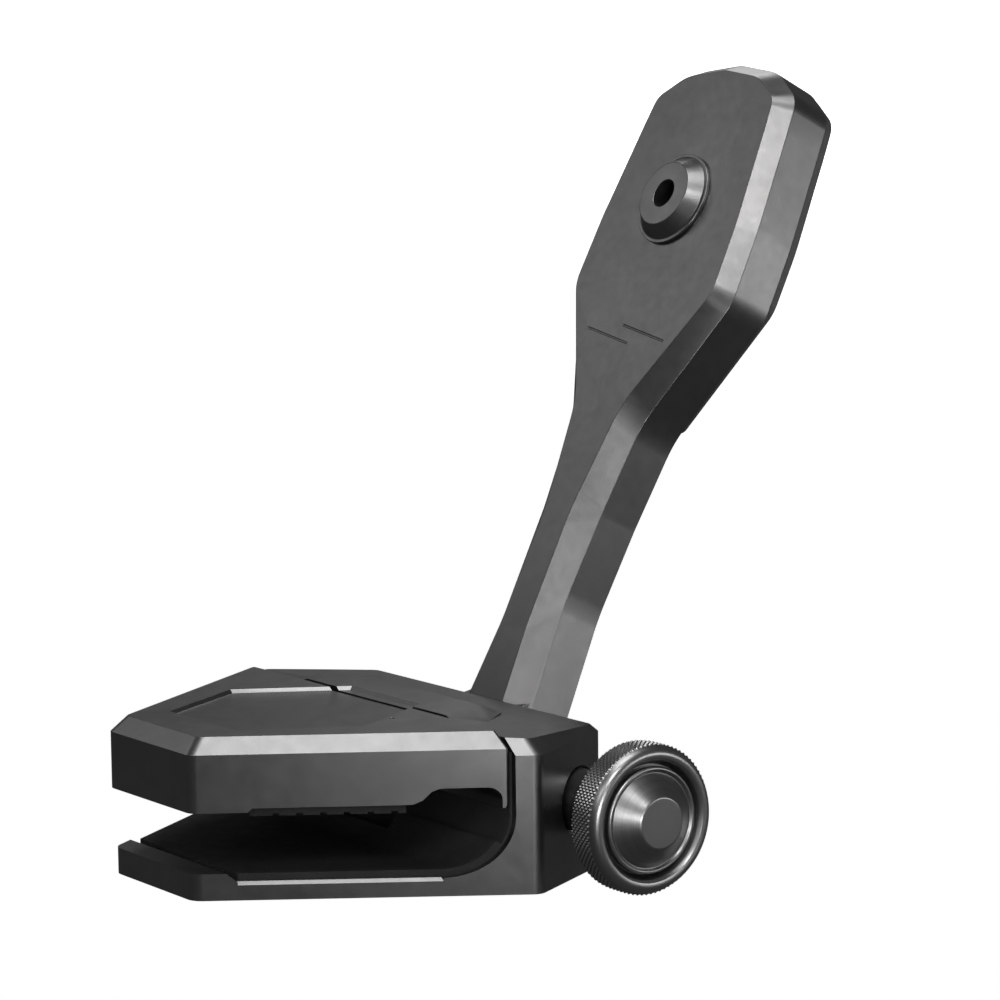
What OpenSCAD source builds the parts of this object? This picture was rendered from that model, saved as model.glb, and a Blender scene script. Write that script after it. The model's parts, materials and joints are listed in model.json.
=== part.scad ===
// Super clamp: a C-shaped frame with a sliding upper jaw, driven down by a
// wedge on a cross screw, and a leaning arm with a paddle head behind it.
// X runs along the knob's axis, Y from the jaw tips to the back, Z up.
// The origin is on the flat underside, on the centre plane.

/* [Jaws] */
// Distance from the jaw tips to the back face
body_len = 87.6; // [86:0.2:92]
// Width of the jaw tips
tip_w = 33; // [28:1:36]
// Angle by which each side flares out from the tips
flare = 33.1; // [31:0.1:34]
// Angle by which each side tapers in towards the back
taper = 27.7; // [24:0.1:29]
// Distance from the jaw tips to the widest place
wide_at = 61.8; // [60:0.1:63]
// Height of the upper jaw's top face
body_h = 34.8; // [34.5:0.1:36]
// Width of the bevel round the top
bevel = 3.3; // [2:0.1:4]
// Height of the underside of the upper jaw's lip
jaw_lip_z = 19; // [18.5:0.1:19.5]
// Height of the lower jaw's lip
lower_lip_z = 5.8; // [5:0.1:6.5]
// Thickness of the lower jaw behind its lip
floor_z = 4; // [3.5:0.1:4.5]
// Radius of the inside corner of the C
throat_r = 13; // [12:0.5:13.5]

/* [Drive] */
// How far the upper jaw travels down, set by whole turns of the screw
screw_turns = 4.5; // [2:0.5:4.5]
// Advance of the screw in one turn
screw_lead = 4; // [3:0.5:4]
// Slope of the wedge
ramp_angle = 20; // [15:1:20]
// Radius of the lead screw
screw_r = 4; // [3.5:0.1:4]
// Height of the screw's axis
screw_z = 16.7; // [16.7:0.1:18]
// Radial clearance of every running fit
run_gap = 0.05; // [0.02:0.01:0.1]

/* [Knob] */
// Radius of the knob's knurled rim
knob_r = 16.3; // [14:0.1:16.5]
// Distance from the centre plane to the knob's front ring
knob_face_x = 74.6; // [73:0.2:80]
// Length of the knurled rim
knurl_len = 6; // [4:0.5:7]
// Radius of the knob's neck
neck_r = 6.9; // [6.7:0.1:7.5]

/* [Arm] */
// Lean of the arm away from the vertical
lean = 26.6; // [20:0.1:30]
// Length of the arm along its front face, above the jaws' top
arm_len = 156.3; // [150:0.1:165]
// Thickness of the cast arm, without the head's rear cover
head_t = 14.8; // [14:0.2:16]
// Thickness of the head's rear cover
cover_t = 2.5; // [2:0.1:3]
// Depth of the bevel round the arm's front
arm_bevel = 4.2; // [3:0.1:5]
// Distance of the screw hole up the arm
hole_at = 120; // [115:1:125]
// Radius of the screw hole in the boss
hole_r = 3.4; // [3.2:0.05:3.6]

/* [Hidden] */
$fn = 64;
eps = 0.01;

// Places along Y, counted from the jaw tips at the front
tip_y = -44;
back_y = tip_y + body_len;
wide_y = tip_y + wide_at;
jaw_rear_y = 12.4;
column_y = 13.4;
wide_x = tip_w / 2 + wide_at * tan(flare);
back_x = wide_x - (back_y - wide_y) * tan(taper);

// The jaw's travel, from the screw and the wedge
wedge_travel = screw_turns * screw_lead;
jaw_travel = wedge_travel * tan(ramp_angle);

// Heights of the bodies' faces
side_top_z = body_h - bevel;
column_top_z = 33.3;
jaw_floor_z = jaw_lip_z + 0.9;
arch_z = 23.3;
recess_depth = 0.8;

// The hollow of the column, which holds the drive
cavity_x = 39;
cavity_y0 = 16.5;
cavity_y1 = 40.2;
cavity_roof_z = 29;
cover_plate_z = 2.7;
screw_y = 34.2;
pocket_x = 43.6;

// The carriage, wedge and guides
carriage_y0 = 17;
carriage_y1 = 27.3;
carriage_x = 12;
carriage_z = 12.5;
carriage_base_h = 4.3;
carriage_base_x = 35;
neck_x = 12;
neck_z0 = 18.3;
wedge_x = -wedge_travel / 2;
wedge_ramp_x = 12;
wedge_nut_x = 9;
wedge_mid_z = 21.8;
wedge_top_z = cavity_roof_z - 0.2;
guide_x = 30;
guide_y = 22;
guide_r = 3;

// The arm's root
root_x = 11.5;
arm_y = back_y + 2;
sleeve_r = 5.5;
slit = 0.1;

function unit(v) = v / norm(v);

// The points of an arc of radius r that rounds the corner at b
function corner_arc(a, b, c, r, n = 6) =
    let (u = unit(a - b), v = unit(c - b), half = acos(u * v) / 2,
         m = b + unit(u + v) * r / sin(half),
         p = b + u * r / tan(half) - m, q = b + v * r / tan(half) - m,
         a0 = atan2(p.y, p.x), turn = (atan2(q.y, q.x) - a0 + 540) % 360 - 180)
    [for (i = [0 : n]) m + r * [cos(a0 + turn * i / n), sin(a0 + turn * i / n)]];

// Rounds every corner of a closed outline; each point may carry its own radius
function rounded(pts, r = 1) =
    let (k = len(pts), flat = [for (p = pts) [p.x, p.y]])
    [for (i = [0 : k - 1]) each corner_arc(flat[(i + k - 1) % k], flat[i], flat[(i + 1) % k],
                                           len(pts[i]) > 2 ? pts[i].z : r)];

// Adds the mirror image of a chain of points in x >= 0, listed from front to back
function both_sides(half_pts) =
    let (k = len(half_pts))
    [each half_pts, for (i = [k - 1 : -1 : 0]) let (p = half_pts[i])
        len(p) > 2 ? [-p.x, p.y, p.z] : [-p.x, p.y]];

// Half width of the flared side at y, moved inward by inset
function flare_x(y, inset = 0) = tip_w / 2 + (y - tip_y) * tan(flare) - inset / cos(flare);
function taper_x(y, inset = 0) = wide_x - (y - wide_y) * tan(taper) - inset / cos(taper);

// Where the inset flare and taper lines cross
function wide_inset_y(inset) =
    wide_y + inset * (1 / cos(taper) - 1 / cos(flare)) / (tan(flare) + tan(taper));

module prism(pts, z0, z1) {
    translate([0, 0, z0]) linear_extrude(z1 - z0) polygon(pts);
}

// A prism whose top edge is bevelled from the lower to the upper outline
module bevelled_prism(lower, upper, z0, z1, z2) {
    prism(lower, z0, z1);
    hull() {
        prism(lower, z1 - eps, z1);
        prism(upper, z2 - eps, z2);
    }
}

// A bar along X with the given outline in Y and Z
module x_bar(pts, x0, x1) {
    translate([x0, 0, 0]) rotate([90, 0, 90]) linear_extrude(x1 - x0) polygon(pts);
}

module x_rod(r, x0, x1, y = screw_y, z = screw_z) {
    translate([x0, y, z]) rotate([0, 90, 0]) cylinder(r = r, h = x1 - x0);
}

module y_rod(r1, r2, y0, y1, x, z) {
    translate([x, y0, z]) rotate([-90, 0, 0]) cylinder(r1 = r1, r2 = r2, h = y1 - y0);
}

module z_rod(r1, r2, z0, z1, x, y) {
    translate([x, y, z0]) cylinder(r1 = r1, r2 = r2, h = z1 - z0);
}

// Puts its children in the arm's own frame: Y is depth behind the front face,
// Z is distance up the arm
module at_arm() {
    translate([0, arm_y, body_h]) rotate([-lean, 0, 0]) children();
}

// ---- frame -------------------------------------------------------------

function frame_outline(inset, front, back) = rounded(both_sides([
    [flare_x(front, inset), front, 4],
    [flare_x(wide_inset_y(inset), inset), wide_inset_y(inset), 3],
    [taper_x(back, inset), back, 1.8]]));

// The opening between the jaws, swept along X: lip, floor and round throat
function mouth_profile() = concat(
    [[tip_y - 1, lower_lip_z], [tip_y + 6, lower_lip_z], [tip_y + 8, floor_z]],
    [for (i = [0 : 16]) let (a = -90 + 90 * i / 16)
        [column_y - throat_r + throat_r * cos(a), floor_z + throat_r + throat_r * sin(a)]],
    [[column_y, body_h + 5], [tip_y - 1, body_h + 5]]);

// Chamfer along the lower jaw's inner edges, beside the pad
lip_bevel = 0.7;
module lip_chamfer() difference() {
    translate([-60, tip_y + 8, floor_z - lip_bevel])
        cube([120, column_y - throat_r - tip_y - 8, lip_bevel + 1]);
    bevelled_prism(frame_outline(0, tip_y, back_y), frame_outline(lip_bevel, tip_y, back_y),
                   0, floor_z - lip_bevel, floor_z + eps);
}

cover_outline = rounded(both_sides([[49.5, 15.2], [49.5, 22], [41.8, 40.9]]), 1.5);
cover_screw_at = [[45, 19.5], [40.7, 36.2]];
cover_screw_r = 1.25;

// Two rows of arm screws through the column's back wall
arm_screw_z = [8, 25];
arm_screw_x = 7;

module both_x() {
    children();
    mirror([1, 0, 0]) children();
}

// The column's top slopes down a little towards the back
function column_slope_z(y) = column_top_z - (y - column_y) * tan(3.5);

recess_r = 27.4;
recess_y = -7.4;

module top_recess() {
    // Its wall leans out at 45 degrees
    translate([0, recess_y, body_h - recess_depth])
        cylinder(r1 = recess_r - recess_depth, r2 = recess_r - recess_depth + 4 / cos(30), h = 4, $fn = 6);
}

saddle_low = both_sides([[34, column_y], [31.3, 22.5], [24, 31]]);
saddle_high = both_sides([[28, column_y], [23, 25.3], [20.5, 27]]);

module clamp_frame() color([0.27, 0.27, 0.28]) difference() {
    union() {
        prism(frame_outline(0, tip_y, back_y), 0, lower_lip_z);
        intersection() {
            bevelled_prism(frame_outline(0, tip_y, back_y), frame_outline(bevel, tip_y, back_y - bevel),
                           0, column_top_z - bevel, column_top_z);
            x_bar([[-20, 0], [50, 0], [50, column_slope_z(50)], [-20, column_slope_z(-20)]], -80, 80);
        }
        // Saddle that carries the jaw's top face on towards the arm
        hull() {
            prism(saddle_low, column_top_z - 2, column_top_z - 0.6);
            prism(saddle_high, body_h - eps, body_h);
        }
    }
    x_bar(mouth_profile(), -80, 80);
    lip_chamfer();
    // Hollow for the drive, open below, and the seat of its cover
    translate([-cavity_x, cavity_y0, -1])
        cube([2 * cavity_x, cavity_y1 - cavity_y0, cavity_roof_z + 1]);
    prism(cover_outline, -1, cover_plate_z);
    // Window for the carriage's neck
    translate([-neck_x - 0.5, column_y - 3, neck_z0 - jaw_travel - 0.6])
        cube([2 * neck_x + 1, 8, arch_z + 0.7 - (neck_z0 - jaw_travel - 0.6)]);
    // Seats of the screw's bushings and the neck's pocket
    x_rod(5.9, cavity_x - 1, pocket_x + 1);
    x_rod(neck_r + 0.6, pocket_x, 80);
    // The top's shallow six-sided recess runs on from the jaw into the saddle
    top_recess();
    x_rod(5, -44.5, -cavity_x + 1);
    // Blind seats of the guide pins in the roof
    both_x() z_rod(guide_r, guide_r, cavity_roof_z - 1, cavity_roof_z + 2, guide_x, guide_y);
    // Holes for the cover's and the arm's screws
    both_x() for (p = cover_screw_at) z_rod(cover_screw_r, cover_screw_r, 1, 9, p.x, p.y);
    both_x() for (z = arm_screw_z) {
        y_rod(2.1, 2.1, cavity_y1 - 1, back_y + 1, arm_screw_x, z);
        y_rod(4.2, 2.1, cavity_y1 - eps, cavity_y1 + 2.1, arm_screw_x, z);
    }
}

// The pad lies on the lower jaw, turns up into the throat and goes on as a thin liner
pad_t = 1.6;
pad_side = 1.2;
pad_end_angle = 61;
liner_t = 0.45;

module lower_pad() color([0.06, 0.06, 0.065]) difference() {
    intersection() {
        x_bar(concat(
            [[tip_y + 8.6, floor_z], [tip_y + 8.6, floor_z + pad_t]],
            [for (i = [0 : 12]) let (a = -90 + pad_end_angle * i / 12)
                [column_y - throat_r + (throat_r - pad_t) * cos(a),
                 floor_z + throat_r + (throat_r - pad_t) * sin(a)]],
            [for (i = [0 : 5]) let (a = pad_end_angle - 90 + (90 - pad_end_angle) * i / 5)
                [column_y - throat_r + (throat_r - liner_t) * cos(a),
                 floor_z + throat_r + (throat_r - liner_t) * sin(a)]],
            [[column_y - liner_t, side_top_z - 1], [column_y, side_top_z - 1]],
            [for (i = [16 : -1 : 0]) let (a = -90 + 90 * i / 16)
                [column_y - throat_r + throat_r * cos(a), floor_z + throat_r + throat_r * sin(a)]]),
            -60, 60);
        prism(both_sides([[flare_x(tip_y, pad_side), tip_y],
                          [flare_x(column_y, pad_side), column_y]]), 0, body_h);
    }
    // Clear of the carriage's neck
    translate([-neck_x - 1.5, 4, 8]) cube([2 * neck_x + 3, 20, 40]);
}

module bottom_cover() color([0.2, 0.2, 0.21]) difference() {
    prism(rounded(both_sides([[49.3, 15.4], [49.3, 22], [41.6, 40.7]]), 1.4), 0.2, cover_plate_z);
    both_x() for (p = cover_screw_at) {
        z_rod(1.4, 1.4, -1, 5, p.x, p.y);
        z_rod(2.6, 1.4, 0.2, 1.4, p.x, p.y);
    }
    both_x() z_rod(guide_r, guide_r, 1.2, 5, guide_x, guide_y);
}

module bottom_cover_screws() color([0.12, 0.12, 0.13]) both_x() for (p = cover_screw_at) difference() {
    union() {
        z_rod(2.5, cover_screw_r, 0.2, 1.4, p.x, p.y);
        z_rod(cover_screw_r, cover_screw_r, 1.4, 8.5, p.x, p.y);
    }
    translate([p.x, p.y, -eps]) cylinder(r = 0.9, h = 1.2, $fn = 6);
}

module guide_pins() color([0.7, 0.7, 0.72])
    both_x() z_rod(guide_r, guide_r, 1.2, cavity_roof_z + 2, guide_x, guide_y);

spring_r = 4.2;
spring_wire = 0.4;
spring_turns = 5;

// The wire's section where the coil has turned by a, and risen by z
function wire_section(a, z) = [for (i = [0 : 5]) let (r = spring_r + spring_wire * cos(60 * i))
    [r * cos(a), r * sin(a), z + spring_wire * sin(60 * i)]];

module return_springs() color([0.55, 0.56, 0.58])
    both_x() translate([guide_x, guide_y, cover_plate_z + spring_wire + 0.1]) {
        rise = carriage_z + 1.8 - cover_plate_z - 2 * spring_wire - 0.1;
        steps = spring_turns * 14;
        loft([for (i = [0 : steps]) wire_section(360 * spring_turns * i / steps, rise * i / steps)]);
    }

module right_bushing() color([0.72, 0.55, 0.3]) difference() {
    union() {
        x_rod(5.9, cavity_x - 0.4, pocket_x + eps);
        x_rod(6.6, pocket_x, pocket_x + 1.2);
    }
    x_rod(screw_r + run_gap, cavity_x - 1, pocket_x + 2);
}

module left_bushing() color([0.72, 0.55, 0.3]) difference() {
    x_rod(5, -44.5, -cavity_x);
    x_rod(3 + run_gap, -43.5, -cavity_x + 1);
}

washer_x = pocket_x + 1.25;
module thrust_washer() color([0.8, 0.8, 0.82]) difference() {
    x_rod(6.6, washer_x, washer_x + 0.8);
    x_rod(screw_r + run_gap, washer_x - 1, washer_x + 2);
}

// ---- upper jaw ---------------------------------------------------------

// The jaw's tip stands a little proud of the lower jaw's
jaw_overhang = 0.6;

function jaw_outline(inset, rear) = rounded(both_sides([
    [flare_x(tip_y + inset, inset) + jaw_overhang, tip_y + inset - jaw_overhang, 3],
    [flare_x(rear, inset), rear, 0.5]]));

// Underside of the jaw: lip, long shallow recess, arch and thin rear leg
function jaw_under_profile() = [
    [tip_y - 1, 0], [tip_y - 1, jaw_lip_z], [tip_y + 9.6, jaw_lip_z],
    [tip_y + 10.5, jaw_floor_z], [-5, jaw_floor_z],
    [-3.2, jaw_floor_z + 0.9], [-1.6, arch_z - 0.7], [0, arch_z],
    for (a = [90 : -15 : 0]) [jaw_rear_y - 4 + 2.6 * cos(a), arch_z - 2.6 + 2.6 * sin(a)],
    [jaw_rear_y - 1.4, jaw_lip_z - 0.2], [jaw_rear_y - 0.9, jaw_lip_z - 0.2],
    [jaw_rear_y, jaw_lip_z + 1.2], [jaw_rear_y + 1, jaw_lip_z + 1.2], [jaw_rear_y + 1, 0]];

jaw_screw_at = [7.5, 4.5];

module upper_jaw() color([0.3, 0.3, 0.31]) difference() {
    bevelled_prism(jaw_outline(0, jaw_rear_y), jaw_outline(bevel, jaw_rear_y - 0.4),
                   jaw_lip_z - 0.2, side_top_z, body_h);
    x_bar(jaw_under_profile(), -80, 80);
    top_recess();
    // Small blind pin hole
    z_rod(0.6, 0.6, body_h - 2, body_h + 1, 23.7, 2.4);
    // Gap in the rear leg for the carriage's neck
    translate([-neck_x - 0.3, 9, 0]) cube([2 * neck_x + 0.6, 10, arch_z]);
    both_x() z_rod(1.7, 1.7, arch_z - 1, arch_z + 6.5, jaw_screw_at.x, jaw_screw_at.y);
}

module upper_pad() color([0.06, 0.06, 0.065]) difference() {
    prism(both_sides([[flare_x(tip_y + 11, pad_side), tip_y + 11], [flare_x(-5.4, pad_side), -5.4]]),
          jaw_floor_z - 2, jaw_floor_z);
    // Shallow grip grooves across the pad
    for (i = [0 : 5]) translate([-60, tip_y + 15 + 4.2 * i, jaw_floor_z - 2.5]) cube([120, 1.2, 1]);
}

// Side view of the ramp: the height of the wedge's lower face at x
function ramp_z(x) = wedge_mid_z + (x - wedge_x) * tan(ramp_angle);

module jaw_carriage() color([0.5, 0.5, 0.52]) difference() {
    union() {
        translate([-neck_x, 0.2, neck_z0])
            cube([2 * neck_x, carriage_y0, arch_z - neck_z0]);
        translate([-carriage_base_x, carriage_y0, carriage_z])
            cube([2 * carriage_base_x, carriage_y1 - carriage_y0, carriage_base_h]);
        // Ramp block, flat where the slope would reach the roof
        translate([0, carriage_y1, 0]) rotate([90, 0, 0]) linear_extrude(carriage_y1 - carriage_y0)
            intersection() {
                polygon([[-carriage_x, carriage_z], [carriage_x, carriage_z],
                         [carriage_x, ramp_z(carriage_x) - slit], [-carriage_x, ramp_z(-carriage_x) - slit]]);
                translate([-carriage_x, 0]) square([2 * carriage_x, cavity_roof_z - 0.4]);
            }
    }
    both_x() z_rod(guide_r + 1.2, guide_r + 1.2, carriage_z + 1.9, 40, guide_x, guide_y);
    both_x() z_rod(5, 5, carriage_z - 1, carriage_z + 1.9, guide_x, guide_y);
    both_x() {
        z_rod(2.1, 2.1, neck_z0 - 1, arch_z + 1, jaw_screw_at.x, jaw_screw_at.y);
        z_rod(4.1, 2.1, neck_z0 - eps, neck_z0 + 2, jaw_screw_at.x, jaw_screw_at.y);
    }
}

module carriage_screws() color([0.12, 0.12, 0.13]) both_x() difference() {
    union() {
        z_rod(4, 2, neck_z0, neck_z0 + 2, jaw_screw_at.x, jaw_screw_at.y);
        z_rod(2, 2, neck_z0 + 2, arch_z, jaw_screw_at.x, jaw_screw_at.y);
        z_rod(1.7, 1.7, arch_z, arch_z + 6, jaw_screw_at.x, jaw_screw_at.y);
    }
    translate([jaw_screw_at.x, jaw_screw_at.y, neck_z0 - eps]) cylinder(r = 1.45, h = 2, $fn = 6);
}

module guide_bushes() color([0.72, 0.55, 0.3]) both_x() difference() {
    z_rod(guide_r + 1.2, guide_r + 1.2, carriage_z + 1.9, carriage_z + carriage_base_h + 4, guide_x, guide_y);
    z_rod(guide_r + run_gap, guide_r + run_gap, 0, 40, guide_x, guide_y);
}

// ---- wedge -------------------------------------------------------------

module wedge_block() color([0.6, 0.6, 0.62]) difference() {
    union() {
        translate([0, carriage_y1 + 0.4, 0]) rotate([90, 0, 0]) linear_extrude(carriage_y1 + 0.1 - carriage_y0)
            polygon([[wedge_x - wedge_ramp_x, ramp_z(wedge_x - wedge_ramp_x)],
                     [wedge_x + wedge_ramp_x, ramp_z(wedge_x + wedge_ramp_x)],
                     [wedge_x + wedge_ramp_x, wedge_top_z], [wedge_x - wedge_ramp_x, wedge_top_z]]);
        translate([wedge_x - wedge_nut_x, carriage_y1 + 0.3, screw_z - 6.5])
            cube([2 * wedge_nut_x, cavity_y1 - 0.3 - carriage_y1 - 0.3, wedge_top_z - screw_z + 6.5]);
    }
    x_rod(5.2, wedge_x - 20, wedge_x + 20);
}

module lead_nut() color([0.75, 0.58, 0.3]) difference() {
    x_rod(5.2, wedge_x - wedge_nut_x, wedge_x + wedge_nut_x);
    x_rod(screw_r + run_gap, wedge_x - 20, wedge_x + 20);
}

// ---- screw and knob ----------------------------------------------------

ring_x = cavity_x - 1.8;
neck_x0 = washer_x + 0.9;
knob_back_x = knob_face_x - 2 - knurl_len;
screw_end_x = knob_face_x - 6;

module lead_screw() color([0.62, 0.62, 0.64]) difference() {
    union() {
        x_rod(screw_r, -33, screw_end_x);
        x_rod(3, -43, -33);
    }
    // Groove for the retaining ring
    difference() {
        x_rod(screw_r + 1, ring_x, ring_x + 1.1);
        x_rod(screw_r - 0.8, ring_x - 1, ring_x + 2);
    }
    x_rod(1.7, screw_end_x - 9, screw_end_x + 1);
    // Cross hole for the knob's pin
    z_rod(1.25, 1.25, screw_z - 9, screw_z + 9, neck_x0 + 8, screw_y);
}

module retaining_ring() color([0.35, 0.35, 0.37]) difference() {
    x_rod(5.4, ring_x + 0.05, ring_x + 1.05);
    x_rod(screw_r - 0.8, ring_x - 1, ring_x + 2);
    translate([ring_x - 1, screw_y - 1.6, screw_z - 8]) cube([3, 3.2, 8]);
}

// Half section of the knob: distance along the axis against radius
module knob_body() color([0.42, 0.42, 0.43]) difference() {
    translate([0, screw_y, screw_z]) rotate([0, 90, 0]) rotate_extrude($fn = 96) polygon([
        [0, neck_x0], [neck_r, neck_x0], [neck_r, knob_back_x - 1.5], [neck_r + 1.5, knob_back_x],
        [knob_r - 0.8, knob_back_x], [knob_r, knob_back_x + 0.8], [knob_r, knob_face_x - 1.8],
        [knob_r - 1.2, knob_face_x], [12.7, knob_face_x], [11.8, knob_face_x - 2.6],
        [0, knob_face_x - 2.6]]);
    x_rod(screw_r, neck_x0 - 1, screw_end_x);
    x_rod(1.9, screw_end_x - 1, knob_face_x + 1);
    x_rod(3.6, knob_face_x - 5, knob_face_x + 1);
    z_rod(1.25, 1.25, screw_z - 9, screw_z + 9, neck_x0 + 8, screw_y);
}

module knob_bolt() color([0.12, 0.12, 0.13]) difference() {
    union() {
        x_rod(3.5, knob_face_x - 5, knob_face_x - 2.8);
        x_rod(1.7, screw_end_x - 8.5, knob_face_x - 5);
    }
    translate([knob_face_x - 4, screw_y, screw_z]) rotate([0, 90, 0]) cylinder(r = 1.45, h = 4, $fn = 6);
}

module knob_pin() color([0.55, 0.55, 0.57])
    z_rod(1.25, 1.25, screw_z - neck_r + 0.6, screw_z + neck_r - 0.6, neck_x0 + 8, screw_y);

module knob_cap() color([0.45, 0.45, 0.46])
    translate([0, screw_y, screw_z]) rotate([0, 90, 0]) rotate_extrude($fn = 96) polygon([
        [0, knob_face_x - 2.6], [11.5, knob_face_x - 2.6], [11.5, knob_face_x - 0.9],
        [11.1, knob_face_x - 0.5], [10.7, knob_face_x - 0.6], [10.2, knob_face_x - 1.1],
        [5.8, knob_face_x + 2.4], [5.4, knob_face_x + 2.7], [0, knob_face_x + 2.7]]);

// ---- arm ---------------------------------------------------------------

// Half outlines in the arm's own frame, from the root up: half width, distance up, radius
arm_edge = [[13.3, -14, 1], [9.9, 22, 60], [11, 44, 60], [13.2, 66, 24], [28.9, 97, 12],
            [28.3, 115, 60], [25.7, 139, 60], [24.5, 148, 7], [14.5, 154.7, 14], [0.5, arm_len + 0.2, 4]];
arm_flat = [[7.4, -14, 1], [4.8, 14, 60], [4.7, 43, 60], [8.7, 69, 26], [25.7, 97.7, 9],
            [25.1, 114.8, 57], [22.5, 138.6, 57], [21.5, 146.2, 4], [13.3, 151.6, 11],
            [0.5, arm_len - 3, 5]];

function arm_section(half_pts, depth) = [for (p = rounded(both_sides(half_pts))) [p.x, depth, p.y]];

// Solid through a list of sections with the same even number of points in each.
// The ends are closed with rungs between the two halves of the outline.
module loft(sections) {
    k = len(sections[0]);
    last = (len(sections) - 1) * k;
    polyhedron(
        points = [for (s = sections) each s],
        faces = [
            for (i = [0 : k / 2 - 2]) [i, i + 1, k - 2 - i, k - 1 - i],
            for (j = [0 : len(sections) - 2]) for (i = [0 : k - 1])
                each [[j * k + i, (j + 1) * k + i, (j + 1) * k + (i + 1) % k],
                      [j * k + i, (j + 1) * k + (i + 1) % k, j * k + (i + 1) % k]],
            for (i = [0 : k / 2 - 2]) [last + k - 1 - i, last + k - 2 - i, last + i + 1, last + i]]);
}

// The head's outline behind the bevel, moved inward
head_wall = 3;
function head_outline(inset) = rounded(both_sides([
    [14.2 - inset, 68 + inset, 2], [28.8 - inset, 97 + 0.3 * inset, 12], [28.2 - inset, 115, 60],
    [25.6 - inset, 139, 60], [24.4 - inset, 148 - 0.5 * inset, 6],
    [14.4 - 0.6 * inset, 154.6 - inset, 12], [0.5, arm_len - inset, 4]]));

// A slab behind the arm's front face, between two depths
module arm_slab(pts, d0, d1) {
    translate([0, d1, 0]) rotate([90, 0, 0]) linear_extrude(d1 - d0) polygon(pts);
}

cover_pin_at = [[9.5, 79], [20.5, 100], [18, 143]];

module arm() color([0.3, 0.29, 0.285]) difference() {
    union() {
        intersection() {
            at_arm() loft([arm_section(arm_edge, head_t), arm_section(arm_edge, arm_bevel),
                           arm_section(arm_flat, 0)]);
            translate([-60, back_y + 0.2, -20]) cube([120, 120, 250]);
        }
        // Lug behind the column
        x_bar([[back_y + 0.2, 3], [back_y + 7, 3], [back_y + 13.5, 20], [back_y + 14.6, 29.5],
               [back_y + 8, side_top_z], [back_y + 0.2, side_top_z - 1.5]], -root_x, root_x);
    }
    // The head is hollow from behind, round a core for the bushing
    difference() {
        at_arm() arm_slab(head_outline(head_wall), head_wall + 1.5, head_t + 5);
        at_arm() translate([0, 0, hole_at]) rotate([-90, 0, 0]) cylinder(r = sleeve_r + 2.5, h = head_t);
        at_arm() both_x() for (p = cover_pin_at)
            translate([p.x, 0, p.y]) rotate([-90, 0, 0]) cylinder(r = 3, h = head_t);
    }
    // Two plain engraved lines on the head's front
    at_arm() for (p = [[-6.1, 85.3], [6.6, 86.7]])
        translate([p.x, 0, p.y]) rotate([0, 10, 0]) cube([17, 0.5, 0.45], center = true);
    at_arm() translate([0, -5, hole_at]) rotate([-90, 0, 0]) cylinder(r = sleeve_r, h = 40);
    at_arm() both_x() for (p = cover_pin_at)
        translate([p.x, head_t - 8, p.y]) rotate([-90, 0, 0]) cylinder(r = 1.25, h = 10);
    both_x() for (z = arm_screw_z) y_rod(1.7, 1.7, back_y, back_y + 7.5, arm_screw_x, z);
}

module arm_screws() color([0.12, 0.12, 0.13]) both_x() for (z = arm_screw_z) difference() {
    union() {
        y_rod(4.1, 2, cavity_y1 + 0.05, cavity_y1 + 2.1, arm_screw_x, z);
        y_rod(2, 2, cavity_y1 + 2.1, back_y + 0.2, arm_screw_x, z);
        y_rod(1.7, 1.7, back_y + 0.2, back_y + 7.2, arm_screw_x, z);
    }
    translate([arm_screw_x, cavity_y1, z]) rotate([-90, 0, 0]) cylinder(r = 1.45, h = 2, $fn = 6);
}

boss_h = 3.9;
module boss_bushing() color([0.33, 0.33, 0.335]) at_arm() translate([0, 0, hole_at]) rotate([-90, 0, 0])
    difference() {
        union() {
            translate([0, 0, -0.9]) cylinder(r = 11.3, h = 0.9);
            translate([0, 0, -boss_h]) cylinder(r1 = 7.9, r2 = 10.4, h = boss_h - 0.9 + eps);
            translate([0, 0, -eps]) cylinder(r = sleeve_r, h = head_t + cover_t);
        }
        translate([0, 0, -10]) cylinder(r = hole_r, h = 40);
    }

// Close to the head's sides but set in along its lower diagonals
rear_cover_outline = rounded(both_sides([[12.1, 69, 2], [27.9, 100.1, 10], [27.7, 115, 60],
    [25.1, 139, 60], [23.9, 147.7, 6], [14.1, 154.1, 12], [0.5, arm_len - 0.5, 4]]));

module rear_cover() color([0.07, 0.07, 0.075]) difference() {
    at_arm() arm_slab(rear_cover_outline, head_t, head_t + cover_t);
    at_arm() translate([0, 0, hole_at]) rotate([-90, 0, 0]) cylinder(r = sleeve_r, h = 40);
    at_arm() both_x() for (p = cover_pin_at) {
        translate([p.x, 0, p.y]) rotate([-90, 0, 0]) cylinder(r = 1.4, h = 40);
        translate([p.x, head_t + cover_t - 1.6, p.y]) rotate([-90, 0, 0]) cylinder(r = 2.7, h = 5);
    }
}

module rear_cover_screws() color([0.12, 0.12, 0.13]) at_arm() both_x() for (p = cover_pin_at)
    translate([p.x, 0, p.y]) rotate([-90, 0, 0]) difference() {
        union() {
            translate([0, 0, head_t + cover_t - 1.6]) cylinder(r = 2.6, h = 1.5);
            translate([0, 0, head_t - 7]) cylinder(r = 1.25, h = cover_t + 5.5);
        }
        translate([0, 0, head_t + cover_t - 1]) cylinder(r = 1, h = 2, $fn = 6);
    }

clamp_frame();
lower_pad();
bottom_cover();
bottom_cover_screws();
guide_pins();
return_springs();
right_bushing();
left_bushing();
thrust_washer();
upper_jaw();
upper_pad();
jaw_carriage();
carriage_screws();
guide_bushes();
wedge_block();
lead_nut();
lead_screw();
retaining_ring();
knob_body();
knob_bolt();
knob_pin();
knob_cap();
arm();
arm_screws();
boss_bushing();
rear_cover();
rear_cover_screws();
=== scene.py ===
"""Looks for the super clamp: a wedge clamp with a knurled side knob and a leaning arm."""
import json
import math

import bmesh
import bpy
from mathutils import Matrix, Vector


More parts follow.
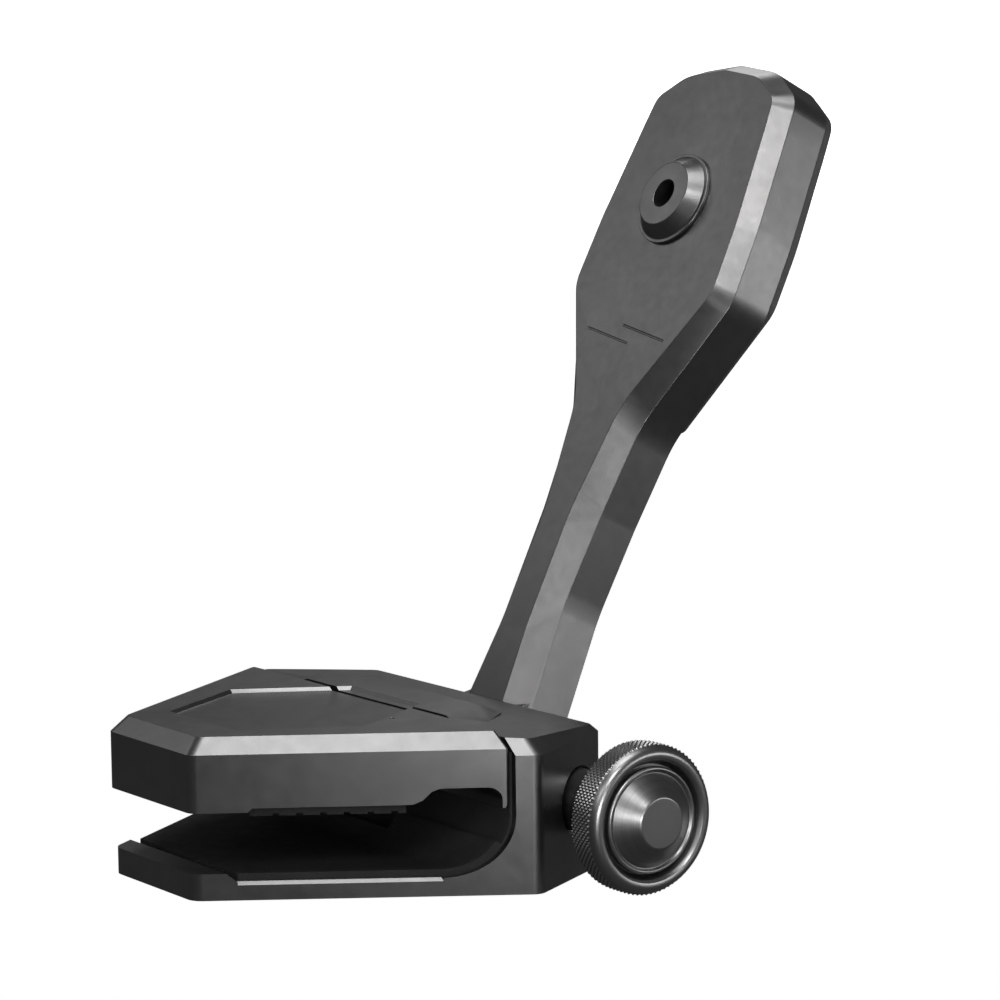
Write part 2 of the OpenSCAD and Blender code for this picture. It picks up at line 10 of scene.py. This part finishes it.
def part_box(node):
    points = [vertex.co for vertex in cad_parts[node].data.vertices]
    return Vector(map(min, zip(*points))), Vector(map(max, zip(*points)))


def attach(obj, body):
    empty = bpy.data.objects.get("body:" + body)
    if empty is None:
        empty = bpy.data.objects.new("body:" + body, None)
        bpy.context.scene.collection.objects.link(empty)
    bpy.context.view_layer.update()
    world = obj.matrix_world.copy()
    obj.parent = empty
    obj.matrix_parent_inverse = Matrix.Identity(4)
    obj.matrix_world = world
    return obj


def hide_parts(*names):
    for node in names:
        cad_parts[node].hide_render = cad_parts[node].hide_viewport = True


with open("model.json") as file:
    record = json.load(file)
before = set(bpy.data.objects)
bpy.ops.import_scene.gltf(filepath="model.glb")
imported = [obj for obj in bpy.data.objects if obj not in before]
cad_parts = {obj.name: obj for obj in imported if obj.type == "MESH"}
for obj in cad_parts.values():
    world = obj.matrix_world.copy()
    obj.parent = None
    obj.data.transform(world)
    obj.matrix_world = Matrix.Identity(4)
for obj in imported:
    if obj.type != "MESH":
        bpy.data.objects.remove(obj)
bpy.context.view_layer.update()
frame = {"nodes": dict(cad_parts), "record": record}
MM = 0.001
WELD = 2e-6                 # metres: vertices closer than this are one
SLIVER = 5e-6               # metres: faces thinner than this are dropped
FLAT_WITHIN = 1.0           # degrees: faces this close to flat are joined

# ---- places from the frame ---------------------------------------------

KNOB_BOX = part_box("knob_body")
SCREW_Y = (KNOB_BOX[0][1] + KNOB_BOX[1][1]) / 2
SCREW_Z = (KNOB_BOX[0][2] + KNOB_BOX[1][2]) / 2
KNOB_R = (KNOB_BOX[1][1] - KNOB_BOX[0][1]) / 2
KNOB_FACE = KNOB_BOX[1][0]
SCREW_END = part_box("lead_screw")[1][0]
BODIES = frame["record"]["behaviour"]["bodies"]
SLOTS = {s["node"]: s["material_slot"] for s in frame["record"]["subparts"]}


# ---- materials ---------------------------------------------------------

class Nodes:
    """A material's node tree, with short calls that add and join nodes."""

    def __init__(self, name):
        self.material = bpy.data.materials.new(name)
        self.material.use_nodes = True
        self.tree = self.material.node_tree
        self.shader = self.tree.nodes["Principled BSDF"]
        self.coords = self.add("ShaderNodeTexCoord").outputs["Object"]

    def add(self, kind, values=None, **settings):
        node = self.tree.nodes.new(kind)
        for key, value in settings.items():
            setattr(node, key, value)
        for key, value in (values or {}).items():
            if isinstance(value, bpy.types.NodeSocket):
                self.tree.links.new(value, node.inputs[key])
            else:
                node.inputs[key].default_value = value
        return node

    def set(self, key, value):
        if isinstance(value, bpy.types.NodeSocket):
            self.tree.links.new(value, self.shader.inputs[key])
        else:
            self.shader.inputs[key].default_value = value

    def noise(self, scale, detail=4.0, stretch=(1, 1, 1), roughness=0.55):
        place = self.add("ShaderNodeMapping", {"Vector": self.coords, "Scale": stretch})
        return self.add("ShaderNodeTexNoise", {"Vector": place.outputs[0], "Scale": scale,
                                               "Detail": detail, "Roughness": roughness}).outputs[0]

    def ramp(self, factor, low, high, colours):
        node = self.add("ShaderNodeValToRGB", {"Fac": factor})
        ends = node.color_ramp.elements
        for end, place, colour in zip(ends, (low, high), colours):
            end.position = place
            end.color = (*colour, 1) if len(colour) == 3 else colour
        return node.outputs[0]

    def span(self, factor, low, high):
        return self.add("ShaderNodeMapRange", {"Value": factor, "To Min": low, "To Max": high}).outputs[0]

    def mix(self, factor, a, b, blend="MIX"):
        node = self.add("ShaderNodeMix", data_type="RGBA", blend_type=blend)
        for key, value in (("Factor", factor), ("A", a), ("B", b)):
            sockets = [s for s in node.inputs if s.name == key and (key == "Factor" or s.type == "RGBA")]
            if isinstance(value, bpy.types.NodeSocket):
                self.tree.links.new(value, sockets[0])
            else:
                sockets[0].default_value = value
        return [s for s in node.outputs if s.type == "RGBA"][0]

    def bump(self, *layers):
        """Layers of (height, strength, distance), each laid on the one before."""
        normal = None
        for height, strength, distance in layers:
            values = {"Height": height, "Strength": strength, "Distance": distance}
            if normal is not None:
                values["Normal"] = normal
            normal = self.add("ShaderNodeBump", values).outputs[0]
        self.set("Normal", normal)

    def edges(self, low=0.502, high=0.53):
        """1 on sharp outward edges, from the mesh's pointiness."""
        point = self.add("ShaderNodeNewGeometry").outputs["Pointiness"]
        return self.ramp(point, low, high, ((0, 0, 0), (1, 1, 1)))


def grey(level, warm=0.0):
    return (level * (1 + warm), level, level * (1 - warm), 1)


def blasted_metal(name, level, roughness=0.42, warm=0.0, grain=0.10):
    """Bead-blasted, dark anodised casting: fine grain, soft mottling, rubbed edges."""
    m = Nodes(name)
    fine = m.noise(2600, 3)
    middle = m.noise(420, 5)
    broad = m.noise(26, 4)
    low, high = grey(level * 0.9, warm), grey(level * 1.1, warm)
    colour = m.ramp(broad, 0.3, 0.7, (low, high))
    colour = m.mix(m.span(fine, 0.0, 0.22), colour, grey(level * 1.5, warm))
    worn = m.add("ShaderNodeMath", {0: m.edges(), 1: m.span(m.noise(160, 5), 0.1, 0.7)},
                 operation="MULTIPLY").outputs[0]
    colour = m.mix(worn, colour, grey(min(level * 1.9, 0.6)))
    m.set("Base Color", colour)
    m.set("Metallic", 1.0)
    m.set("Roughness", m.span(middle, roughness - 0.05, roughness + 0.06))
    m.bump((fine, grain, 0.00006), (middle, 0.05, 0.0002))
    return m.material


def turned_metal(name, level, roughness=0.3):
    """Lathe-turned metal: rings round the X axis, of varying fineness."""
    m = Nodes(name)
    split = m.add("ShaderNodeSeparateXYZ", {"Vector": m.coords})
    y = m.add("ShaderNodeMath", {0: split.outputs[1], 1: -SCREW_Y}, operation="ADD").outputs[0]
    z = m.add("ShaderNodeMath", {0: split.outputs[2], 1: -SCREW_Z}, operation="ADD").outputs[0]
    squares = [m.add("ShaderNodeMath", {0: s, 1: s}, operation="MULTIPLY").outputs[0] for s in (y, z)]
    total = m.add("ShaderNodeMath", {0: squares[0], 1: squares[1]}, operation="ADD").outputs[0]
    radius = m.add("ShaderNodeMath", {0: total}, operation="SQRT").outputs[0]
    place = m.add("ShaderNodeCombineXYZ", {"X": split.outputs[0], "Y": radius}).outputs[0]
    rings = m.add("ShaderNodeTexNoise", {"Vector": place, "Scale": 5200, "Detail": 2}).outputs[0]
    wide = m.add("ShaderNodeTexNoise", {"Vector": place, "Scale": 700, "Detail": 3}).outputs[0]
    colour = m.ramp(rings, 0.3, 0.7, (grey(level * 0.85), grey(level * 1.15)))
    worn = m.add("ShaderNodeMath", {0: m.edges(), 1: 0.6}, operation="MULTIPLY").outputs[0]
    m.set("Base Color", m.mix(worn, colour, grey(min(level * 1.8, 0.7))))
    m.set("Metallic", 1.0)
    m.set("Roughness", m.span(wide, roughness - 0.06, roughness + 0.07))
    m.bump((rings, 0.08, 0.00005), (m.noise(1800, 2), 0.05, 0.00004))
    return m.material


def machined_metal(name, colour, roughness=0.3):
    """Plain machined inner part: fine lines along X, some staining."""
    m = Nodes(name)
    lines = m.noise(900, 3, stretch=(0.15, 1, 1))
    stain = m.noise(90, 4)
    dark = tuple(c * 0.75 for c in colour)
    m.set("Base Color", m.ramp(stain, 0.3, 0.75, (dark, colour)))
    m.set("Metallic", 1.0)
    m.set("Roughness", m.span(lines, roughness - 0.08, roughness + 0.12))
    m.bump((lines, 0.15, 0.0001),)
    return m.material


def rubber(name, level=0.006):
    """Moulded matt rubber with a fine pebbled skin and a little dust; its near-black level is partly the
    pads' own black and partly painted shade for the inside of the jaw's mouth.
    """
    m = Nodes(name)
    pebble = m.add("ShaderNodeTexVoronoi", {"Vector": m.coords, "Scale": 1700}).outputs["Distance"]
    dust = m.noise(60, 6)
    # painted shade: this near-black base colour also stands in for the shade inside the jaw's mouth, as
    # well as the rubber's own black
    m.set("Base Color", m.ramp(dust, 0.35, 0.8, (grey(level), grey(level * 1.9))))
    m.set("Roughness", m.span(m.noise(300, 3), 0.62, 0.82))
    m.set("Specular IOR Level", 0.2)
    m.bump((pebble, 0.35, 0.0001), (dust, 0.1, 0.0002))
    return m.material


def textured_plastic(name, level=0.02):
    """Black moulded cover with spark-eroded texture."""
    m = Nodes(name)
    spark = m.noise(1500, 4, roughness=0.7)
    m.set("Base Color", m.ramp(m.noise(40, 4), 0.3, 0.7, (grey(level * 0.8), grey(level * 1.2))))
    m.set("Roughness", m.span(spark, 0.42, 0.6))
    m.bump((spark, 0.3, 0.0001),)
    return m.material


def black_oxide(name, level=0.03):
    """Oiled black fasteners, rubbed bright at their edges."""
    m = Nodes(name)
    patches = m.noise(700, 4)
    colour = m.ramp(patches, 0.35, 0.7, (grey(level * 0.8), grey(level * 1.6)))
    m.set("Base Color", m.mix(m.edges(0.51, 0.56), colour, grey(0.25)))
    m.set("Metallic", 0.85)
    m.set("Roughness", m.span(patches, 0.3, 0.45))
    m.bump((m.noise(2500, 2), 0.1, 0.00005),)
    return m.material


MATERIALS = {
    "cast_body": blasted_metal("cast_body", 0.150, 0.34),
    "jaw_body": blasted_metal("jaw_body", 0.150, 0.34),
    "arm_body": blasted_metal("arm_body", 0.150, 0.35, warm=0.01),
    "boss_metal": blasted_metal("boss_metal", 0.17, 0.36, grain=0.05),
    "knob_metal": turned_metal("knob_metal", 0.21, 0.34),
    "cap_metal": turned_metal("cap_metal", 0.25, 0.32),
    "pad_rubber": rubber("pad_rubber"),
    "cover_plastic": textured_plastic("cover_plastic"),
    "cover_steel": textured_plastic("cover_steel", 0.03),
    "black_steel": black_oxide("black_steel"),
    "bright_steel": machined_metal("bright_steel", (0.56, 0.56, 0.57), 0.22),
    "inner_steel": machined_metal("inner_steel", (0.40, 0.40, 0.41), 0.32),
    "bearing_bronze": machined_metal("bearing_bronze", (0.55, 0.38, 0.18), 0.34),
}


def dress_cad_nodes():
    for name, obj in frame["nodes"].items():
        obj.data.materials.clear()
        obj.data.materials.append(MATERIALS[SLOTS[name]])


# ---- pieces ------------------------------------------------------------

def new_piece(name, mesh, node):
    """A finished mesh takes a CAD node's place, body and finish."""
    obj = bpy.data.objects.new(name, mesh)
    bpy.context.collection.objects.link(obj)
    mesh.materials.clear()
    mesh.materials.append(MATERIALS[SLOTS[node]])
    body = next(b for b, nodes in BODIES.items() if node in nodes)
    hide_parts(node)
    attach(obj, body)
    return obj


def apply_modifiers(obj):
    bpy.context.view_layer.update()
    depsgraph = bpy.context.evaluated_depsgraph_get()
    mesh = bpy.data.meshes.new_from_object(obj.evaluated_get(depsgraph))
    obj.modifiers.clear()
    obj.data = mesh


def clean_copy(node):
    """The node's mesh, welded, with its flat faces joined up again."""
    bm = bmesh.new()
    bm.from_mesh(frame["nodes"][node].data)
    bmesh.ops.remove_doubles(bm, verts=bm.verts, dist=WELD)
    bmesh.ops.dissolve_degenerate(bm, dist=SLIVER, edges=bm.edges)
    bmesh.ops.dissolve_limit(bm, angle_limit=math.radians(FLAT_WITHIN),
                             verts=bm.verts, edges=bm.edges)
    mesh = bpy.data.meshes.new(node + "_soft")
    bm.to_mesh(mesh)
    bm.free()
    return mesh


def softened(node, width, angle=28, segments=3):
    """A CAD node with its sharp edges rounded, as a casting's are; the width is in mm."""
    obj = new_piece(node + "_visual", clean_copy(node), node)
    bevel = obj.modifiers.new("edges", "BEVEL")
    bevel.width = width * MM
    bevel.segments = segments
    bevel.limit_method = "ANGLE"
    bevel.angle_limit = math.radians(angle)
    apply_modifiers(obj)
    obj.data.shade_smooth()
    weighted = obj.modifiers.new("normals", "WEIGHTED_NORMAL")
    weighted.keep_sharp = True
    weighted.weight = 100
    apply_modifiers(obj)
    return obj


KNURLS = 84                 # ridges round the rim, leaning each way
KNURL_DEPTH = 0.42 * MM
KNURL_STEPS = 6             # mesh steps in one ridge
KNURL_PITCH = 2 * math.pi * KNOB_R / KNURLS
NECK_R = 6.9 * MM
RIM_DEPTH = 8 * MM          # from the rim's back to its front face
SCREW_BORE_R = 4.05 * MM
RECESS_DEPTH = 2.6 * MM     # the seat of the cap
RECESS_R = 11.8 * MM
BOLT_SEAT_R = 3.6 * MM
BOLT_SEAT_DEPTH = 5 * MM
BOLT_R = 1.9 * MM
PIN_CUTTER_LENGTH = 18 * MM


def knurl(x, angle):
    """How far the diamond knurl dips below the rim: two sets of crossing grooves."""
    around = KNURLS * angle / (2 * math.pi)
    waves = [abs(2 * ((around + lean * x / KNURL_PITCH) % 1) - 1) for lean in (1, -1)]
    return KNURL_DEPTH * (1 - min(waves))


def lathe(profile, steps):
    """A closed ring of (x, radius, knurled) points turned round the knob's axis."""
    bm = bmesh.new()
    angles = [2 * math.pi * k / steps for k in range(steps)]
    rings = []
    for x, radius, knurled in profile:
        radii = [radius - (knurl(x, a) if knurled else 0) for a in angles]
        rings.append([bm.verts.new((x, SCREW_Y + r * math.cos(a), SCREW_Z + r * math.sin(a)))
                      for r, a in zip(radii, angles)])
    for low, high in zip(rings, rings[1:] + rings[:1]):
        for k in range(steps):
            bm.faces.new((low[k], low[(k + 1) % steps], high[(k + 1) % steps], high[k]))
    bmesh.ops.recalc_face_normals(bm, faces=bm.faces)
    mesh = bpy.data.meshes.new("lathe")
    bm.to_mesh(mesh)
    bm.free()
    return mesh


def pin_cutter():
    """A rod through the knob's neck, where the cross pin goes."""
    low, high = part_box("knob_pin")
    radius = (high[0] - low[0]) / 2
    mesh = bpy.data.meshes.new("pin_cutter")
    bm = bmesh.new()
    place = Matrix.Translation(((low[0] + high[0]) / 2, SCREW_Y, SCREW_Z))
    bmesh.ops.create_cone(bm, cap_ends=True, segments=48, radius1=radius, radius2=radius,
                          depth=PIN_CUTTER_LENGTH, matrix=place)
    bm.to_mesh(mesh)
    bm.free()
    cutter = bpy.data.objects.new("pin_cutter", mesh)
    bpy.context.collection.objects.link(cutter)
    return cutter


def back_of_knob(start, back):
    """Profile points in (x, radius) from the screw's bore, along the neck, to the rim."""
    return [(start, SCREW_BORE_R), (start, NECK_R - 0.3 * MM), (start + 0.3 * MM, NECK_R),
            (back - 1.5 * MM, NECK_R), (back - 0.9 * MM, NECK_R + 0.25 * MM),
            (back - 0.25 * MM, NECK_R + 0.9 * MM), (back, NECK_R + 1.5 * MM),
            (back, KNOB_R - 1.1 * MM), (back + 0.1 * MM, KNOB_R - 0.9 * MM)]


def front_of_knob(face):
    """Profile points from the rim, over the crowned front ring, down to the bolt's bore."""
    return [(face - 1.6 * MM, KNOB_R - 0.5 * MM), (face - 1.5 * MM, KNOB_R - 0.55 * MM),
            (face - 1.0 * MM, KNOB_R - 0.8 * MM), (face - 0.45 * MM, KNOB_R - 1.2 * MM),
            (face - 0.1 * MM, KNOB_R - 1.8 * MM), (face, KNOB_R - 2.4 * MM),
            (face - 0.15 * MM, KNOB_R - 3.0 * MM), (face - 0.6 * MM, 12.8 * MM),
            (face - 1.0 * MM, 12.6 * MM), (face - RECESS_DEPTH, RECESS_R),
            (face - RECESS_DEPTH, BOLT_SEAT_R), (face - BOLT_SEAT_DEPTH, BOLT_SEAT_R),
            (face - BOLT_SEAT_DEPTH, BOLT_R), (SCREW_END, BOLT_R), (SCREW_END, SCREW_BORE_R)]


def knurled_knob():
    """Neck, knurled rim, bright front ring and the recess that takes the cap."""
    back = KNOB_FACE - RIM_DEPTH
    rim_from, rim_to = back + 0.6 * MM, KNOB_FACE - 1.9 * MM
    rows = round((rim_to - rim_from) / (KNURL_PITCH / KNURL_STEPS))
    profile = [(x, r, False) for x, r in back_of_knob(KNOB_BOX[0][0], back)]
    profile += [(rim_from + (rim_to - rim_from) * k / rows, KNOB_R, True) for k in range(rows + 1)]
    profile += [(x, r, False) for x, r in front_of_knob(KNOB_FACE)]
    obj = new_piece("knob_body_visual", lathe(profile, KNURLS * KNURL_STEPS), "knob_body")
    hole = obj.modifiers.new("pin hole", "BOOLEAN")
    hole.object = cutter = pin_cutter()
    hole.solver = "EXACT"
    apply_modifiers(obj)
    bpy.data.objects.remove(cutter)
    obj.data.shade_smooth()
    obj.data.set_sharp_from_angle(angle=math.radians(24))
    return obj


# ---- stage -------------------------------------------------------------

def area_light(name, where, aim, width, height, power):
    data = bpy.data.lights.new(name, "AREA")
    data.shape = "RECTANGLE"
    data.size = width
    data.size_y = height
    data.energy = power
    obj = bpy.data.objects.new(name, data)
    bpy.context.collection.objects.link(obj)
    obj.location = where
    obj.visible_camera = False
    obj.rotation_euler = (Vector(aim) - Vector(where)).to_track_quat("-Z", "Y").to_euler()
    return obj


FLOOR_R = 3.0               # metres of flat floor
SWEEP_R = 1.0               # radius of its curve up into the wall
WALL_TOP = 3.0


def paper():
    m = Nodes("paper")
    m.set("Base Color", m.ramp(m.noise(3, 3), 0.3, 0.7, ((0.86, 0.86, 0.86), (0.9, 0.9, 0.9))))
    m.set("Roughness", 0.9)
    m.set("Emission Color", (1, 1, 1, 1))
    m.set("Emission Strength", 1.0)
    m.set("Specular IOR Level", 0.1)
    m.bump((m.noise(400, 3), 0.05, 0.0002),)
    return m.material


def make_stage():
    """A pale sweep: a wide floor that rises into a wall all round, far away."""
    curve = [math.pi / 24 * k for k in range(1, 13)]
    profile = [(FLOOR_R, 0.0)]
    profile += [(FLOOR_R + SWEEP_R * math.sin(a), SWEEP_R - math.cos(a) * SWEEP_R) for a in curve]
    profile += [(FLOOR_R + SWEEP_R, WALL_TOP)]
    steps = 72
    turns = [2 * math.pi * k / steps for k in range(steps)]
    bm = bmesh.new()
    rings = [[bm.verts.new((r * math.cos(t), r * math.sin(t), z)) for t in turns] for r, z in profile]
    bm.faces.new(rings[0])
    for low, high in zip(rings, rings[1:]):
        for k in range(steps):
            bm.faces.new((low[k], low[(k + 1) % steps], high[(k + 1) % steps], high[k]))
    mesh = bpy.data.meshes.new("sweep")
    bm.to_mesh(mesh)
    bm.free()
    mesh.shade_smooth()
    mesh.materials.append(paper())
    floor = bpy.data.objects.new("sweep", mesh)
    bpy.context.collection.objects.link(floor)
    floor.visible_glossy = False


def make_lights():
    """Soft boxes all round: (name, place, width, height, power)."""
    aim = (0, 0.03, 0.06)
    boxes = (("overhead", (0.12, -0.02, 0.95), 0.5, 0.5, 3.7),
             ("front", (0.42, -0.80, 0.62), 0.35, 0.35, 1.4),
             ("over_camera", (0.66, -0.27, 0.72), 0.25, 0.25, 2.5),
             ("low_side", (0.28, -0.07, 0.045), 0.10, 0.05, 0.19),
             ("back_left", (-0.60, 0.52, 0.66), 0.3, 0.3, 0.9),
             ("front_left", (-0.81, -0.42, 0.62), 0.4, 0.4, 0.5),
             ("back_right", (0.85, 0.63, 0.16), 0.5, 0.3, 1.6))
    for name, place, width, height, power in boxes:
        area_light(name, place, aim, width, height, power)
    world = bpy.data.worlds.new("studio")
    world.use_nodes = True
    world.node_tree.nodes["Background"].inputs["Color"].default_value = (1, 1, 1, 1)
    world.node_tree.nodes["Background"].inputs["Strength"].default_value = 0.07
    bpy.context.scene.world = world


CAMERA_ANGLES = (54.65, 7.52, -0.632)           # azimuth, elevation and roll in degrees
CAMERA_PLACE = (0.64873, -0.41184, 0.18094)
CAMERA_LENS = 127.2


def make_camera():
    """Low three-quarter view from the knob's side, through a long lens."""
    azimuth, elevation, roll = (math.radians(a) for a in CAMERA_ANGLES)
    back = Vector((math.sin(azimuth) * math.cos(elevation),
                   -math.cos(azimuth) * math.cos(elevation), math.sin(elevation)))
    level = Vector((math.cos(azimuth), math.sin(azimuth), 0))
    upward = back.cross(level)
    right = math.cos(roll) * level + math.sin(roll) * upward
    up = -math.sin(roll) * level + math.cos(roll) * upward
    data = bpy.data.cameras.new("camera")
    data.sensor_width = 36
    data.lens = CAMERA_LENS
    obj = bpy.data.objects.new("camera", data)
    bpy.context.collection.objects.link(obj)
    rows = Matrix((right, up, back)).transposed().to_4x4()
    obj.matrix_world = Matrix.Translation(CAMERA_PLACE) @ rows
    bpy.context.scene.camera = obj


dress_cad_nodes()
for node, width in (("clamp_frame", 0.4), ("upper_jaw", 0.4), ("arm", 0.5), ("boss_bushing", 0.2),
                    ("rear_cover", 0.4), ("knob_cap", 0.2)):
    softened(node, width)
knurled_knob()
make_stage()
make_lights()
make_camera()
bpy.context.scene.view_settings.view_transform = "Standard"
